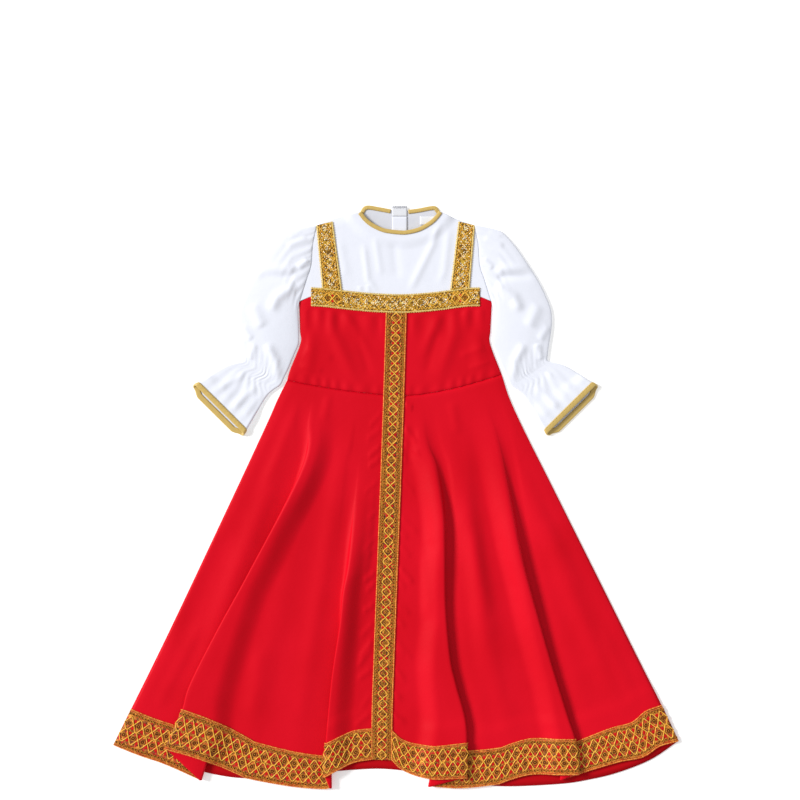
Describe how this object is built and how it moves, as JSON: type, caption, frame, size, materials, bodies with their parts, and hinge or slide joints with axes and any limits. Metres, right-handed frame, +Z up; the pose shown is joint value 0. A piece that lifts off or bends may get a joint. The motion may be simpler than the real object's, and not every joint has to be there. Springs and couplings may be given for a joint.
{
  "type": "party dress",
  "caption": "Child's party dress laid flat: white yoke and gathered puff sleeves, red bodice and flared skirt with a folded hem, gold satin bindings and gold lace bands.",
  "frame": {"origin": "centre of the bounding box's base, on the surface that the dress lies on", "axes": "+Z up from the surface, +Y from hem to neck, +X to the right seen from above, which is the wearer's left"},
  "size_m": [0.8762, 0.9028, 0.0171],
  "materials": {
    "red_cloth": "satin",
    "white_cloth": "matte",
    "gold_satin": "satin",
    "bright_gold_lace": "sparkling lace",
    "gold_lace": "metallic lace",
    "white_tape": "matte"
  },
  "bodies": {
    "root": {"bodice_front": "red_cloth", "bodice_back": "red_cloth", "skirt_front": "red_cloth", "skirt_back": "red_cloth", "yoke_front": "white_cloth", "yoke_back_left": "white_cloth", "yoke_back_right": "white_cloth", "sleeve_left": "white_cloth", "sleeve_right": "white_cloth", "back_placket": "white_cloth", "neck_binding_front": "gold_satin", "neck_binding_back_left": "gold_satin", "neck_binding_back_right": "gold_satin", "cuff_binding_left": "gold_satin", "cuff_binding_right": "gold_satin", "chest_band": "bright_gold_lace", "strap_left": "bright_gold_lace", "strap_right": "bright_gold_lace", "centre_band": "gold_lace", "hem_trim_front_left": "gold_lace", "hem_trim_front_right": "gold_lace", "hem_trim_back": "gold_lace", "closure_tab": "white_tape", "neck_label": "white_tape"}
  },
  "joints": []
}
